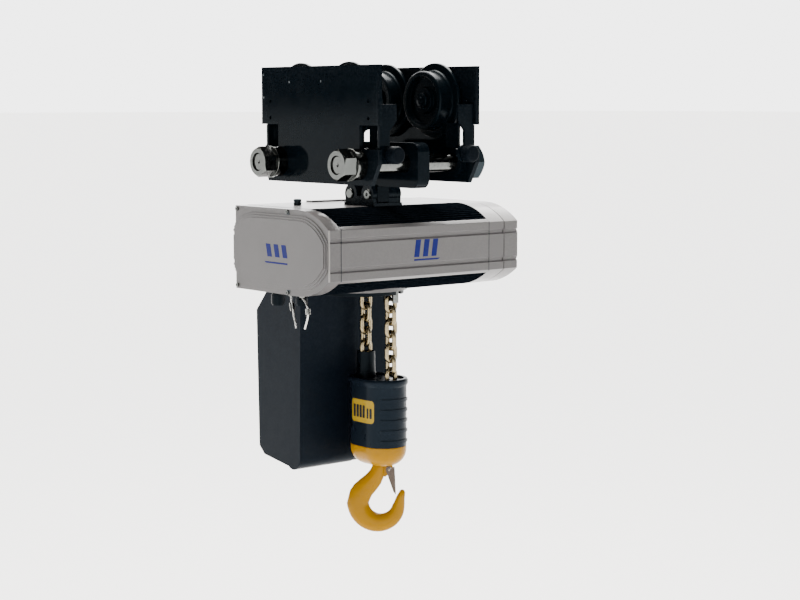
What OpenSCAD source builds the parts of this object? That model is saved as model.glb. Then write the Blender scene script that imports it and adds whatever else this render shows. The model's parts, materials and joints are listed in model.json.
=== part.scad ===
// Electric chain hoist with a push trolley: two side plates and four wheels run on the lower flange of
// a beam, and a flat hoist body hangs below them with a two-fall chain, a hook block and a chain bucket.
// Frame: +X along the hoist body, +Y along the beam, +Z up. Z = 0 is the running surface of the beam.

/* [Trolley] */
// Distance between the outer faces of the side plates
plates_span = 314; // [300:1:330]
// Thickness of a side plate
plate_t = 12; // [8:1:14]
// Length of a side plate along the beam
plate_len = 468; // [456:1:480]
// Top of the side plates above the running surface
plate_top = 155; // [145:1:160]
// Bottom of the side plates below the running surface
plate_drop = 127; // [120:1:132]
// Distance between wheel centres along the beam
wheel_base = 194; // [185:1:200]
// Radius of the wheel tread
tread_r = 72; // [68:1:74]
// Radius of the wheel flange
flange_r = 92; // [84:1:93]
// Diameter of the two cross bars
bar_d = 45; // [40:1:46]
// Distance between the cross bars along the beam
bar_base = 320; // [310:1:326]
// Depth of the cross bars below the running surface
bar_drop = 78; // [76:1:84]

/* [Hoist body] */
// Left end of the body along X
body_left = -248; // [-255:1:-240]
// Right end of the body along X
body_right = 351; // [340:1:360]
// Front face of the body along Y
body_front = -164; // [-168:1:-160]
// Rear face of the body along Y
body_rear = 222; // [216:1:228]
// Top of the body
body_top = -186; // [-188:1:-184]
// Height of the body
body_h = 208; // [204:1:212]
// Height lost by each rounded front shoulder
shoulder_drop = 44; // [40:1:48]

/* [Chain] */
// Inside length of one link, which is the chain pitch
link_pitch = 31; // [30:0.5:32]
// Diameter of the chain wire
link_wire = 11.2; // [10:0.1:11.3]
// Place of the load hook along X
hook_x = 20; // [16:1:24]
// Place of the load hook along Y
hook_y = -12; // [-16:1:-8]
// Links between the chain sheave and the load wheel
fall_links = 13; // [13:1:13]
// Height of the chain sheave
sheave_z = -690; // [-692:1:-688]

/* [Hook block] */
// Width of the block along X
block_w = 120; // [116:2:124]
// Length of the block along Y
block_l = 160; // [154:2:164]
// Angle of the hook about the vertical
hook_turn = -39; // [-60:1:0]
// Radius of the hook's bowl
bowl_r = 30; // [28:1:32]

/* [Chain bucket] */
// Width of the bucket along X
bucket_w = 278; // [270:1:284]
// Depth of the bucket along Y
bucket_d = 190; // [184:1:194]
// Height of the bucket at its front wall
bucket_h = 454; // [440:1:460]
// Thickness of the bucket's wall
bucket_wall = 4; // [3:1:6]

/* [Hidden] */
$fn = 64;

// trolley
plate_out = plates_span / 2;
plate_in = plate_out - plate_t;
bar_r = bar_d / 2;
notch_top = 14;
notch_bottom = -42;
notch_depth = 70;
bumper_x = 116;
bumper_z = -55;
lug_x = -31;
lug_z = -157;
axle_r = 10;
bearing_r = 20;
running_gap = 0.05;

// hoist body
body_bottom = body_top - body_h;
body_mid_z = (body_top + body_bottom) / 2;
shoulder_y = -40;
shoulder_run = shoulder_y - body_front;
shoulder_r = (shoulder_run * shoulder_run + shoulder_drop * shoulder_drop) / (2 * shoulder_drop);
shoulder_angle = asin(shoulder_run / shoulder_r);
wall_t = 10;
profile_back = -134;
shell_left = -212;
shell_right = 254;
frame_right = 307;
outlet_x0 = -8;
outlet_x1 = 48;
outlet_y1 = 168;
plug_x = -134;
plug_y = 116;
boss_x = -15;
boss_y = 20;
boss_r = 120;
panel_y0 = -50;
panel_y1 = 130;
panel_half = 76;
panel_front = -149;
panel_out = 8;

// chain
pitch_r = link_pitch / 2 / sin(18);
link_width = 37;
link_gap = 0.45;
bend_gap = 0.9;
wheel_y = hook_y + 2 * pitch_r;
wheel_z = sheave_z + fall_links * link_pitch;
slack_y = hook_y + 3 * pitch_r;
pocket_r = pitch_r * cos(18) - link_wire / 2 - 0.5;
slot_r = pitch_r * cos(18) - link_width / 2 - 0.6;

// gear train
gear_module = 2;
pinion_teeth = 15;
mid_teeth = 45;
mid_pinion_teeth = 15;
load_teeth = 45;
gear_x = -62;
load_gear_x = -32;
brake_x = 262.5;
mid_y = wheel_y - gear_module * (pinion_teeth + mid_teeth) / 2;

// hook block
block_r = block_w / 2;
block_span = (block_l - block_w) / 2;
block_top_z = -616;
block_bottom_z = -786;
cup_bottom_z = -838;
shank_r = 13;
bowl_h = 6;
bowl_z = -936;
latch_h = 27;
latch_z = -852;

// chain bucket
bucket_x0 = -160;
bucket_y0 = 71;
bucket_top = -396;
step_x = 15;

// relief wires: hand-chosen routes
wire_d = 4.6;
wire_front_route = [[-225, -25, -399], [-225, -29, -402], [-225, -35, -406], [-225, -41, -411],
    [-225, -46, -417], [-225, -49, -425], [-225, -50, -434], [-225, -48, -445], [-225, -44, -456],
    [-225, -39, -467], [-225, -36, -474]];
wire_rear_route = [[-225, 20, -399], [-225, 19, -408], [-225, 17, -418], [-225, 14, -428],
    [-225, 11, -438], [-225, 8, -448], [-225, 4, -459], [-225, 1, -468], [-225, -1, -476]];

// ---- shared shapes ----

// turns a flat outline in (Y, Z) into a solid of thickness t that starts at X = x
module along_x(x, t) {
    translate([x, 0, 0]) rotate([90, 0, 90]) linear_extrude(t) children();
}

// turns a flat outline in (X, Z) into a solid of thickness t that starts at Y = y
module along_y(y, t) {
    translate([0, y + t, 0]) rotate([90, 0, 0]) linear_extrude(t) children();
}

// round rod along X
module rod_x(x, y, z, r, length) {
    translate([x, y, z]) rotate([0, 90, 0]) cylinder(r = r, h = length);
}

// round tube along X
module tube_x(x, y, z, r_out, r_in, length) {
    difference() {
        rod_x(x, y, z, r_out, length);
        rod_x(x - 1, y, z, r_in, length + 2);
    }
}

// chamfered hexagon nut along X, width across flats af
module hex_nut_x(x, y, z, af, length, r_in, turn) {
    corner = af / sqrt(3);
    translate([x, y, z]) rotate([0, 90, 0]) difference() {
        intersection() {
            rotate([0, 0, turn]) cylinder(r = corner, h = length, $fn = 6);
            union() {
                cylinder(r1 = af / 2, r2 = corner, h = 4);
                translate([0, 0, 4]) cylinder(r = corner, h = length - 8);
                translate([0, 0, length - 4]) cylinder(r1 = corner, r2 = af / 2, h = 4);
            }
        }
        translate([0, 0, -1]) cylinder(r = r_in, h = length + 2);
    }
}

// rectangle with rounded corners and its lower left corner at [x, z]
module round_rect(x, z, w, h, r) {
    translate([x + r, z]) square([w - 2 * r, h]);
    translate([x, z + r]) square([w, h - 2 * r]);
    for (i = [0, 1], j = [0, 1])
        translate([x + r + i * (w - 2 * r), z + r + j * (h - 2 * r)]) circle(r);
}

// closed solid through a list of rings that all have the same number of points
module loft(rings) {
    n = len(rings[0]);
    m = len(rings);
    points = [for (ring = rings, p = ring) p];
    sides = [for (i = [0 : m - 2], j = [0 : n - 1])
        let (k = (j + 1) % n)
        each [[i * n + j, (i + 1) * n + k, i * n + k], [i * n + j, (i + 1) * n + j, (i + 1) * n + k]]];
    first = [[for (j = [0 : n - 1]) j]];
    last = [[for (j = [0 : n - 1]) m * n - 1 - j]];
    polyhedron(points = points, faces = concat(sides, first, last), convexity = 6);
}

function unit(v) = v / norm(v);
function route_dir(route, i) =
    unit(route[min(i + 1, len(route) - 1)] - route[max(i - 1, 0)]);
function ring_at(p, dir, r, n) =
    let (a = unit(cross(dir, [0, 1, 0])), b = cross(dir, a))
    [for (j = [0 : n - 1]) p + r * cos(360 * j / n) * a + r * sin(360 * j / n) * b];

// cord swept along a route of points
module cord(route, r) {
    loft([for (i = [0 : len(route) - 1]) ring_at(route[i], route_dir(route, i), r, 8)]);
}

// one oval chain link in the X-Z plane, centred on its own middle, with some play at its ends
module link(play) {
    crown = link_width / 2 - link_wire / 2;
    leg = link_pitch / 2 + link_wire - link_width / 2 + play / 2;
    for (s = [-1, 1]) {
        translate([s * crown, 0, -leg]) cylinder(r = link_wire / 2, h = 2 * leg, $fn = 24);
        translate([0, 0, s * leg]) rotate([90, 0, 0]) rotate([0, 0, s > 0 ? 0 : 180])
            rotate_extrude(angle = 180, $fn = 48) translate([crown, 0]) circle(link_wire / 2, $fn = 24);
    }
}

// link number i of a straight fall that starts at height z and goes up
module fall_link(y, z, i) {
    translate([hook_x, y, z + (i + 0.5) * link_pitch]) rotate([0, 0, i % 2 == 0 ? 0 : 90]) link(link_gap);
}

// five links that lie half round a wheel of pitch radius; up is 1 over the wheel and -1 under it
module wrapped_links(y, z, up, first) {
    for (i = [0 : 4])
        translate([hook_x, y, z]) rotate([up * (18 + 36 * i), 0, 0])
            translate([0, pitch_r * cos(18), 0]) rotate([0, 0, (i + first) % 2 == 0 ? 0 : 90]) link(bend_gap);
}

// spur gear along X with straight-sided teeth and room between them
function gear_points(teeth, turn) = [for (i = [0 : teeth - 1])
    let (a = 360 / teeth * i + turn, p = 360 / teeth, r = gear_module * teeth / 2)
    each [[(r - 2.2) * cos(a - 0.30 * p), (r - 2.2) * sin(a - 0.30 * p)],
        [(r + 1.4) * cos(a - 0.10 * p), (r + 1.4) * sin(a - 0.10 * p)],
        [(r + 1.4) * cos(a + 0.10 * p), (r + 1.4) * sin(a + 0.10 * p)],
        [(r - 2.2) * cos(a + 0.30 * p), (r - 2.2) * sin(a + 0.30 * p)]]];
module gear(x, y, z, teeth, width, turn) {
    along_x(x, width) translate([y, z]) polygon(gear_points(teeth, turn));
}

// ---- trolley ----

module side_plate_outline() {
    half = plate_len / 2;
    polygon([for (s = [1, -1]) each (s > 0
        ? [[half, plate_top], [half, notch_top], [half - notch_depth, notch_top],
            [half - notch_depth, notch_bottom], [half, notch_bottom],
            [half, 51 - plate_drop], [half - 28, -plate_drop]]
        : [[28 - half, -plate_drop], [-half, 51 - plate_drop], [-half, notch_bottom],
            [notch_depth - half, notch_bottom], [notch_depth - half, notch_top],
            [-half, notch_top], [-half, plate_top]])]);
}

// the axle holes are blind, so the outer face of a side plate stays plain
module side_plate(x_side) {
    color([0.07, 0.08, 0.10]) mirror([x_side < 0 ? 1 : 0, 0, 0]) difference() {
        union() {
            along_x(plate_in, plate_t) side_plate_outline();
            for (s = [-1, 1])
                rod_x(plate_in - 14, s * bar_base / 2, -bar_drop, 38, 15);
        }
        for (s = [-1, 1]) {
            rod_x(plate_in - 15, s * bar_base / 2, -bar_drop, bar_r, plate_t + 20);
            rod_x(plate_in - 1, s * wheel_base / 2, tread_r, axle_r, plate_t - 1.5);
            for (z = [30, 70])
                rod_x(plate_in - 1, s * 197, z, 4.5, plate_t + 2);
        }
    }
}

module side_plate_left() { side_plate(-1); }
module side_plate_right() { side_plate(1); }

module cross_bars() {
    color([0.72, 0.72, 0.70]) for (s = [-1, 1]) difference() {
        union() {
            rod_x(-219, s * bar_base / 2, -bar_drop, bar_r - 2, 2);
            rod_x(-217, s * bar_base / 2, -bar_drop, bar_r, 217 + 210);
        }
        translate([-219.5, s * bar_base / 2, -bar_drop]) rotate([0, 90, 0]) cylinder(r1 = 4, r2 = 1, h = 5);
    }
}

module bar_nuts_left() {
    color([0.70, 0.70, 0.68]) for (s = [-1, 1])
        hex_nut_x(-223, s * bar_base / 2, -bar_drop, 66, 37, bar_r + running_gap, 4);
}

module bar_spacers() {
    color([0.62, 0.62, 0.60]) for (s = [-1, 1]) {
        y = s * bar_base / 2;
        tube_x(-186, y, -bar_drop, 39, bar_r + running_gap, 6);
        tube_x(-180, y, -bar_drop, 37, bar_r + running_gap, 11.5);
        tube_x(-168.5, y, -bar_drop, 37, bar_r + running_gap, 168.5 - plate_out);
    }
}

module bar_nuts_right() {
    color([0.20, 0.23, 0.24]) for (s = [-1, 1])
        hex_nut_x(plate_out, s * bar_base / 2, -bar_drop, 80, 48, bar_r + running_gap, 30);
}

module hanger_plate() {
    color([0.06, 0.07, 0.09]) difference() {
        union() {
            along_x(-18, 36) round_rect(-212, -137, 416, 109, 22);
            along_x(-18, 36) translate([-58, -176]) square([116, 60]);
        }
        for (s = [-1, 1]) {
            rod_x(-20, s * bar_base / 2, -bar_drop, bar_r, 40);
            rod_x(-20, s * 35, lug_z, 12, 40);
        }
    }
}

// wheel profile as [radius, distance from the trolley's middle]
wheel_profile = [[bearing_r, 92], [31, 92], [33, 101], [56, 101], [60, 88], [69, 88], [tread_r, 91],
    [tread_r, 121], [75, 126], [flange_r - 2, 128], [flange_r, 130], [flange_r, 137],
    [flange_r - 1, 138], [60, 138], [57, 134], [30, 134], [28, 138], [24, 138], [24, 134],
    [bearing_r, 134]];

module wheel(x_side, y_side) {
    color([0.16, 0.17, 0.19]) translate([0, y_side * wheel_base / 2, tread_r])
        rotate([0, x_side * 90, 0]) rotate_extrude($fn = 96) polygon(wheel_profile);
}

module bearing(x_side, y_side) {
    color([0.75, 0.75, 0.74]) translate([0, y_side * wheel_base / 2, tread_r])
        rotate([0, x_side * 90, 0]) rotate_extrude()
            polygon([[axle_r + running_gap, 93], [13, 93], [13.5, 94], [16.5, 94], [17, 93],
                [bearing_r, 93], [bearing_r, 133], [17, 133], [16.5, 132], [13.5, 132], [13, 133],
                [axle_r + running_gap, 133]]);
}

module wheel_front_left() { wheel(-1, -1); }
module wheel_front_right() { wheel(1, -1); }
module wheel_rear_left() { wheel(-1, 1); }
module wheel_rear_right() { wheel(1, 1); }
module bearing_front_left() { bearing(-1, -1); }
module bearing_front_right() { bearing(1, -1); }
module bearing_rear_left() { bearing(-1, 1); }
module bearing_rear_right() { bearing(1, 1); }

module wheel_axles() {
    color([0.66, 0.66, 0.65]) for (x_side = [-1, 1], y_side = [-1, 1])
        translate([0, y_side * wheel_base / 2, tread_r]) rotate([0, x_side * 90, 0])
            rotate_extrude() polygon([[0, 84], [8.5, 84], [axle_r, 85.5], [axle_r, 88], [9, 88],
                [9, 90], [axle_r, 90], [axle_r, 134], [14, 134], [14, plate_in],
                [axle_r, plate_in], [axle_r, plate_out - 2.5], [0, plate_out - 2.5]]);
}

module axle_circlips() {
    color([0.30, 0.30, 0.30]) for (x_side = [-1, 1], y_side = [-1, 1])
        translate([0, y_side * wheel_base / 2, tread_r]) rotate([0, x_side * 90, 0])
            difference() {
                translate([0, 0, 88.2]) cylinder(r = 14, h = 1.6);
                translate([0, 0, 87]) cylinder(r = 9, h = 4);
                translate([0, -4, 87]) cube([20, 8, 4]);
            }
}

// end plate with a foot for the bumper, and a web that runs back behind the notch
module bumper_bracket(y_side, web_start) {
    y = y_side < 0 ? -227 : 220;
    along_y(y, 7) {
        polygon([[plate_in, 63], [95.5, 63], [95.5, 25], [bumper_x, 0], [bumper_x, -70],
            [bumper_x + 6, -76], [plate_in, -76]]);
        translate([plate_in - 1, notch_bottom + 0.5]) square([4, notch_top - notch_bottom - 1]);
        translate([bumper_x, bumper_z]) circle(21);
    }
    along_y(y_side < 0 ? -237 : 226, 11) translate([bumper_x, bumper_z]) circle(20);
    along_x(bumper_x, 6) difference() {
        translate([y_side < 0 ? -221 : web_start, notch_bottom]) square([221 - web_start, 60]);
        translate([y_side < 0 ? -219 : 199, notch_bottom + 6]) square([20, 50]);
    }
}

module bumper_brackets() {
    color([0.06, 0.07, 0.08]) for (x_side = [0, 1]) mirror([x_side, 0, 0]) {
        bumper_bracket(-1, 157);
        bumper_bracket(1, 172);
    }
}

module bumpers() {
    color([0.15, 0.15, 0.16]) for (x_side = [-1, 1], y_side = [-1, 1])
        translate([x_side * bumper_x, y_side * 237, bumper_z]) rotate([-y_side * 90, 0, 0])
            rotate_extrude() polygon([[0, 0], [21, 0], [21, 17], [19, 22], [15, 24], [0, 24]]);
}

// ---- suspension ----

module lug_outline() {
    translate([-55, body_top]) square([110, 24]);
    for (s = [-1, 1]) translate([s * 33, lug_z]) circle(24);
}

module suspension_lug() {
    color([0.07, 0.08, 0.10]) difference() {
        union() {
            along_x(lug_x, 12.5) lug_outline();
            along_x(18.5, 39) lug_outline();
            translate([lug_x, -60, body_top]) cube([88.5, 120, 8]);
        }
        for (s = [-1, 1]) rod_x(-40, s * 35, lug_z, 12, 100);
    }
}

module suspension_pins() {
    color([0.75, 0.75, 0.74]) difference() {
        for (s = [-1, 1]) translate([lug_x - 4, s * 35, lug_z]) rotate([0, 90, 0])
            rotate_extrude() polygon([[0, 0], [11, 0], [13, 1.5], [13, 4], [12, 4], [12, 94],
                [10, 96], [0, 96]]);
        translate([lug_x - 5, -35, lug_z]) rotate([0, 90, 0]) cylinder(r = 4.5, h = 5, $fn = 6);
    }
}

// ---- hoist body ----

// cross section of the body in (Y, Z), shrunk by an inset
module body_section(inset) {
    r = shoulder_r - inset;
    translate([shoulder_y, body_bottom + inset])
        square([body_rear - inset - shoulder_y, body_h - 2 * inset]);
    intersection() {
        translate([body_front + inset, body_bottom + inset])
            square([shoulder_run - inset + 1, body_h - 2 * inset]);
        translate([shoulder_y, body_top - shoulder_r]) circle(r, $fn = 160);
        translate([shoulder_y, body_bottom + shoulder_r]) circle(r, $fn = 160);
    }
}

// two long grooves with sloped sides in the front and rear faces, carried round the end covers
module long_grooves(depth) {
    for (s = [-1, 1], side = [0, 1]) {
        y = side == 0 ? body_front : body_rear;
        d = side == 0 ? 1 : -1;
        z = body_mid_z + s * 35;
        polygon([[y - d, z - 7.5], [y + d * depth, z - 3], [y + d * depth, z + 3], [y - d, z + 7.5]]);
    }
}

// overlap of two circles of radius r at Y = y that touch the heights half_h above and below the middle
module lens(half_h, r, y) {
    intersection() {
        translate([y, body_mid_z + half_h - r]) circle(r, $fn = 120);
        translate([y, body_mid_z - half_h + r]) circle(r, $fn = 120);
    }
}

// outline of the raised panel on an end cover: flat top and bottom, pointed round ends cut off square
module panel_outline(grow) {
    half_h = panel_half + grow;
    front = panel_front - 0.9 * grow;
    rear = body_rear - 1;
    translate([panel_y0, body_mid_z - half_h]) square([panel_y1 - panel_y0, 2 * half_h]);
    intersection() {
        translate([front, body_mid_z - half_h]) square([panel_y0 - front, 2 * half_h]);
        lens(half_h, 122 + grow, panel_y0);
    }
    intersection() {
        translate([panel_y1, body_mid_z - half_h]) square([rear - panel_y1, 2 * half_h]);
        lens(half_h, 136 + grow, panel_y1);
    }
}

// raised panel in three steps that stands out towards -X from X = 0
module cover_panel() {
    for (i = [0 : 2])
        along_x(-panel_out * (i + 1) / 3, panel_out / 3 + 0.01) panel_outline(14 - 6 * i);
}

module end_cover_left() {
    color([0.62, 0.62, 0.60]) difference() {
        union() {
            translate([body_left, 0, 0]) cover_panel();
            along_x(body_left, shell_left - body_left) body_section(0.5);
        }
        along_x(body_left + 5, 40) body_section(9);
        along_x(body_left - panel_out - 1, 60) long_grooves(4);
    }
}

module end_cover_right() {
    color([0.62, 0.62, 0.60]) difference() {
        union() {
            along_x(frame_right, body_right - frame_right) body_section(0.5);
            translate([body_right, 0, 0]) mirror([1, 0, 0]) cover_panel();
        }
        along_x(frame_right - 4, body_right - 5 - frame_right + 4) body_section(9);
        along_x(frame_right - 1, 60) long_grooves(4);
    }
}

module end_frame_right() {
    color([0.60, 0.60, 0.58]) difference() {
        union() {
            along_x(shell_right, frame_right - shell_right - 3) body_section(0);
            along_x(frame_right - 4, 4) body_section(4);
        }
        along_x(shell_right + 8, 60) body_section(9);
        along_x(shell_right - 1, 10) translate([wheel_y, wheel_z]) circle(30);
        along_x(shell_right - 1, 50) long_grooves(4);
    }
}

module front_profile() {
    color([0.64, 0.64, 0.62]) difference() {
        along_x(shell_left, shell_right - shell_left) intersection() {
            union() {
                translate([body_front, body_bottom]) square([10, body_h]);
                intersection() {
                    translate([body_front, body_bottom]) square([profile_back - body_front, body_h]);
                    translate([shoulder_y, body_top - shoulder_r]) circle(shoulder_r - 10, $fn = 160);
                    translate([shoulder_y, body_bottom + shoulder_r]) circle(shoulder_r - 10, $fn = 160);
                }
            }
            body_section(0);
        }
        along_x(shell_left - 1, shell_right - shell_left + 2) {
            long_grooves(4);
            translate([body_front + 10, body_mid_z - 44]) square([12, 88]);
        }
    }
}

module rear_housing() {
    color([0.62, 0.62, 0.60]) difference() {
        union() {
            along_x(shell_left, shell_right - shell_left)
                translate([shoulder_y, body_bottom]) square([body_rear - shoulder_y, body_h]);
            translate([-30, body_rear - 26, body_top - 1]) cube([200, 26, 5]);
        }
        along_x(shell_left - 1, shell_right - shell_left + 2)
            translate([shoulder_y - 1, body_bottom + wall_t])
                square([body_rear - shoulder_y - wall_t + 1, body_h - 2 * wall_t]);
        along_x(shell_left - 1, shell_right - shell_left + 2) long_grooves(4);
        translate([outlet_x0, shoulder_y - 1, body_bottom - 1])
            cube([outlet_x1 - outlet_x0, outlet_y1 - shoulder_y, wall_t + 2]);
        translate([plug_x, plug_y, body_top]) cylinder(r = 7, h = 40, center = true);
    }
}

// ribbed skin over a rounded front shoulder, as a flat outline
module rib_outline() {
    clear_edge = body_front + 10.3;
    centre_z = body_top - shoulder_r;
    intersection() {
        translate([clear_edge, body_mid_z + 30]) square([shoulder_y - clear_edge, body_h / 2]);
        translate([shoulder_y, centre_z]) difference() {
            union() {
                circle(shoulder_r - 6, $fn = 160);
                for (i = [0 : 13])
                    rotate(91 + i * 2.75) translate([shoulder_r - 14, -2]) square([14, 4]);
            }
            circle(shoulder_r - 9.9, $fn = 160);
        }
    }
}

module ribbed_shell_top() {
    color([0.09, 0.10, 0.12]) along_x(shell_left, shell_right - shell_left) rib_outline();
}

module ribbed_shell_bottom() {
    color([0.09, 0.10, 0.12]) difference() {
        translate([0, 0, 2 * body_mid_z]) mirror([0, 0, 1])
            along_x(shell_left, shell_right - shell_left) rib_outline();
        translate([boss_x, boss_y, body_bottom - 1]) cylinder(r = boss_r, h = 60, $fn = 120);
    }
}

// screw positions in (Y, Z) on an end cover
screw_places = [[213, body_top - 9], [213, body_bottom + 9], [0, body_top - 6.5], [0, body_bottom + 6.5]];

module cover_screw(x, y, z, turn) {
    translate([x, y, z]) rotate([0, turn, 0]) difference() {
        cylinder(r = 5, h = 4, $fn = 32);
        translate([0, 0, 2]) cylinder(r = 2.6, h = 4, $fn = 6);
    }
}

module cover_screws() {
    color([0.12, 0.12, 0.13]) for (p = screw_places) {
        cover_screw(body_left, p[0], p[1], -90);
        cover_screw(body_right, p[0], p[1], 90);
    }
}

module top_plug() {
    color([0.05, 0.05, 0.05]) translate([plug_x, plug_y, body_top]) {
        translate([0, 0, -wall_t]) cylinder(r = 7, h = wall_t);
        cylinder(r1 = 8.5, r2 = 10, h = 2);
        translate([0, 0, 2]) cylinder(r = 10, h = 5);
        translate([0, 0, 7]) cylinder(r = 8.8, h = 2);
        translate([0, 0, 9]) cylinder(r = 10, h = 4);
        translate([0, 0, 13]) cylinder(r1 = 10, r2 = 8.5, h = 2.5);
    }
}

// ---- outlets under the body ----

// round-fronted plate under the body with the two chain outlets cut out, from z0 to z1
module guide_shape(z0, z1, shrink, rear_y) {
    difference() {
        intersection() {
            translate([boss_x, boss_y, z0]) cylinder(r = boss_r - shrink, h = z1 - z0, $fn = 120);
            translate([boss_x - 150, -150, z0]) cube([300, 150 + rear_y, z1 - z0]);
        }
        translate([outlet_x0, -40, z0 - 1]) cube([outlet_x1 - outlet_x0, 300, z1 - z0 + 2]);
        translate([hook_x, hook_y - pitch_r, z0 - 1]) cylinder(r = 24, h = z1 - z0 + 2);
    }
}

module chain_guide() {
    color([0.64, 0.64, 0.62]) guide_shape(body_bottom, body_bottom + 22, 0, shoulder_y - 0.2);
}

module guide_plate() {
    color([0.07, 0.07, 0.08]) guide_shape(body_bottom - 10, body_bottom, 9, 60);
}

module dead_end_anchor() {
    y = hook_y - pitch_r;
    z = sheave_z + 9 * link_pitch - link_wire / 2;
    color([0.75, 0.74, 0.70]) {
        translate([hook_x, y - 20, z]) rotate([-90, 0, 0]) cylinder(r = link_wire / 2 - 0.3, h = 40);
        for (s = [-1, 1]) translate([hook_x - 8, y + s * 17 - 3, z - 8]) cube([16, 6, 54]);
        translate([hook_x, y, body_bottom + 22.2]) cylinder(r = 29, h = 8);
    }
}

// cable sockets as [Y, length below the body, radius]
sockets = [[-14, 26, 15], [84, 33, 17]];

module cable_sockets() {
    color([0.08, 0.08, 0.09]) for (p = sockets) difference() {
        translate([-218, p[0], body_bottom - p[1]]) union() {
            cylinder(r = p[2] - 3, h = p[1]);
            translate([0, 0, 4]) cylinder(r = p[2], h = p[1] - 10);
        }
        translate([-218, p[0], body_bottom - p[1] - 1]) cylinder(r = 9, h = 18);
        translate([-225, -26.5, body_bottom - 11]) cylinder(r = 7.9, h = 12);
    }
}

module wire_glands() {
    color([0.72, 0.72, 0.70]) for (y = [-25, 20]) translate([-225, y, body_bottom - 5]) difference() {
        cylinder(r = 6, h = 5, $fn = 32);
        translate([0, 0, -1]) cylinder(r = 4.4, h = 4, $fn = 32);
    }
}

// crimped sleeve round a wire, from point a to point b
module crimp(a, b) {
    d = b - a;
    translate(a) rotate([0, acos(d[2] / norm(d)), atan2(d[1], d[0])]) difference() {
        cylinder(r = 6.5, h = norm(d), $fn = 32);
        translate([0, 0, -1]) cylinder(r = wire_d / 2 + 2, h = norm(d) + 2, $fn = 32);
    }
}

module wire_crimps() {
    color([0.72, 0.72, 0.70]) {
        crimp([-225, -48.4, -424], [-225, -49.6, -438]);
        crimp([-225, 18, -415], [-225, 12.5, -434]);
    }
}

module relief_wire_front() { color([0.70, 0.70, 0.68]) cord(wire_front_route, wire_d / 2); }
module relief_wire_rear() { color([0.70, 0.70, 0.68]) cord(wire_rear_route, wire_d / 2); }

// ---- drive ----

module motor_stator() {
    color([0.35, 0.36, 0.38]) difference() {
        union() {
            rod_x(84, wheel_y, wheel_z, 80, 150);
            rod_x(76, wheel_y, wheel_z, 60, 8);
        }
        rod_x(88, wheel_y, wheel_z, 46, 142);
        rod_x(70, wheel_y, wheel_z, 12, 180);
    }
}

module motor_rotor() {
    color([0.55, 0.55, 0.56]) {
        rod_x(96, wheel_y, wheel_z, 45.2, 126);
        rod_x(gear_x - 14, wheel_y, wheel_z, 9, brake_x + 38 - gear_x + 14);
        gear(gear_x, wheel_y, wheel_z, pinion_teeth, 18, 0);
    }
}

module brake() {
    color([0.25, 0.26, 0.28]) difference() {
        rod_x(brake_x, wheel_y, wheel_z, 62, 34);
        rod_x(240, wheel_y, wheel_z, 12, 80);
    }
}

module intermediate_gear() {
    color([0.55, 0.55, 0.56]) {
        gear(gear_x, mid_y, wheel_z, mid_teeth, 16, 0);
        rod_x(gear_x - 20, mid_y, wheel_z, 8, 72);
        gear(load_gear_x, mid_y, wheel_z, mid_pinion_teeth, 18, 0);
    }
}

module load_wheel() {
    color([0.45, 0.45, 0.46]) translate([hook_x, wheel_y, wheel_z]) rotate([0, 90, 0]) difference() {
        rotate_extrude() polygon([[10, -50], [20, -50], [20, -26], [54, -26], [54, -21.5], [pocket_r, -19],
            [pocket_r, -7], [slot_r, -7], [slot_r, 7], [pocket_r, 7], [pocket_r, 19], [54, 21.5], [54, 26],
            [20, 26], [20, 50], [10, 50]]);
        translate([0, 0, -60]) cylinder(r = 10, h = 120);
    }
    color([0.45, 0.45, 0.46]) difference() {
        gear(load_gear_x, wheel_y, wheel_z, load_teeth, 16, 0);
        rod_x(load_gear_x - 5, wheel_y, wheel_z, 10, 40);
    }
}

module control_unit() {
    color([0.20, 0.32, 0.24]) {
        translate([-200, -120, -350]) cube([120, 60, 110]);
        translate([70, -120, -350]) cube([170, 70, 110]);
    }
}

// ---- chain ----

module chain_load_fall() {
    color([0.80, 0.74, 0.58]) for (i = [1 : fall_links - 1])
        fall_link(hook_y + pitch_r, sheave_z, i);
}

module chain_dead_fall() {
    color([0.80, 0.74, 0.58]) for (i = [1 : 8])
        fall_link(hook_y - pitch_r, sheave_z, i);
}

module chain_slack() {
    color([0.80, 0.74, 0.58]) {
        wrapped_links(wheel_y, wheel_z, 1, 1);
        for (i = [0 : 8])
            fall_link(slack_y, wheel_z - 9 * link_pitch, i);
    }
}

module chain_loop() {
    color([0.80, 0.74, 0.58]) {
        wrapped_links(hook_y, sheave_z, -1, 1);
        for (s = [-1, 1])
            fall_link(hook_y + s * pitch_r, sheave_z, 0);
    }
}

// outline of the bucket in (Y, Z), shrunk by an inset, with its front wall set back
module bucket_outline(inset, setback) {
    y0 = bucket_y0 + inset + setback;
    y1 = bucket_y0 + bucket_d - inset;
    top_z = bucket_top + (inset > 0 ? 5 : 0);
    front_z = bucket_top - bucket_h + inset;
    fillet = 30 - inset;
    difference() {
        polygon([[y0, top_z], [y0 + 6, front_z + fillet], [y0 + 6, front_z], [y1 - 30, front_z + 22],
            [y1 - 8, front_z + 42], [y1, bucket_top - 62], [y1 - 55, top_z]]);
        translate([y0 + 5, front_z - 1]) square([fillet + 1, fillet + 1]);
    }
    translate([y0 + 6 + fillet, front_z + fillet + 0.5]) circle(fillet);
}

module chain_bucket() {
    left_w = step_x - bucket_x0;
    color([0.17, 0.20, 0.24]) difference() {
        union() {
            along_x(bucket_x0, left_w) bucket_outline(0, 0);
            along_x(step_x, bucket_w - left_w) bucket_outline(0, 6);
        }
        along_x(bucket_x0 + bucket_wall, left_w - 2 * bucket_wall) bucket_outline(bucket_wall, 0);
        along_x(bucket_x0 + bucket_wall, bucket_w - 2 * bucket_wall) bucket_outline(bucket_wall, 6);
    }
}

// ---- hook block ----

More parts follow.
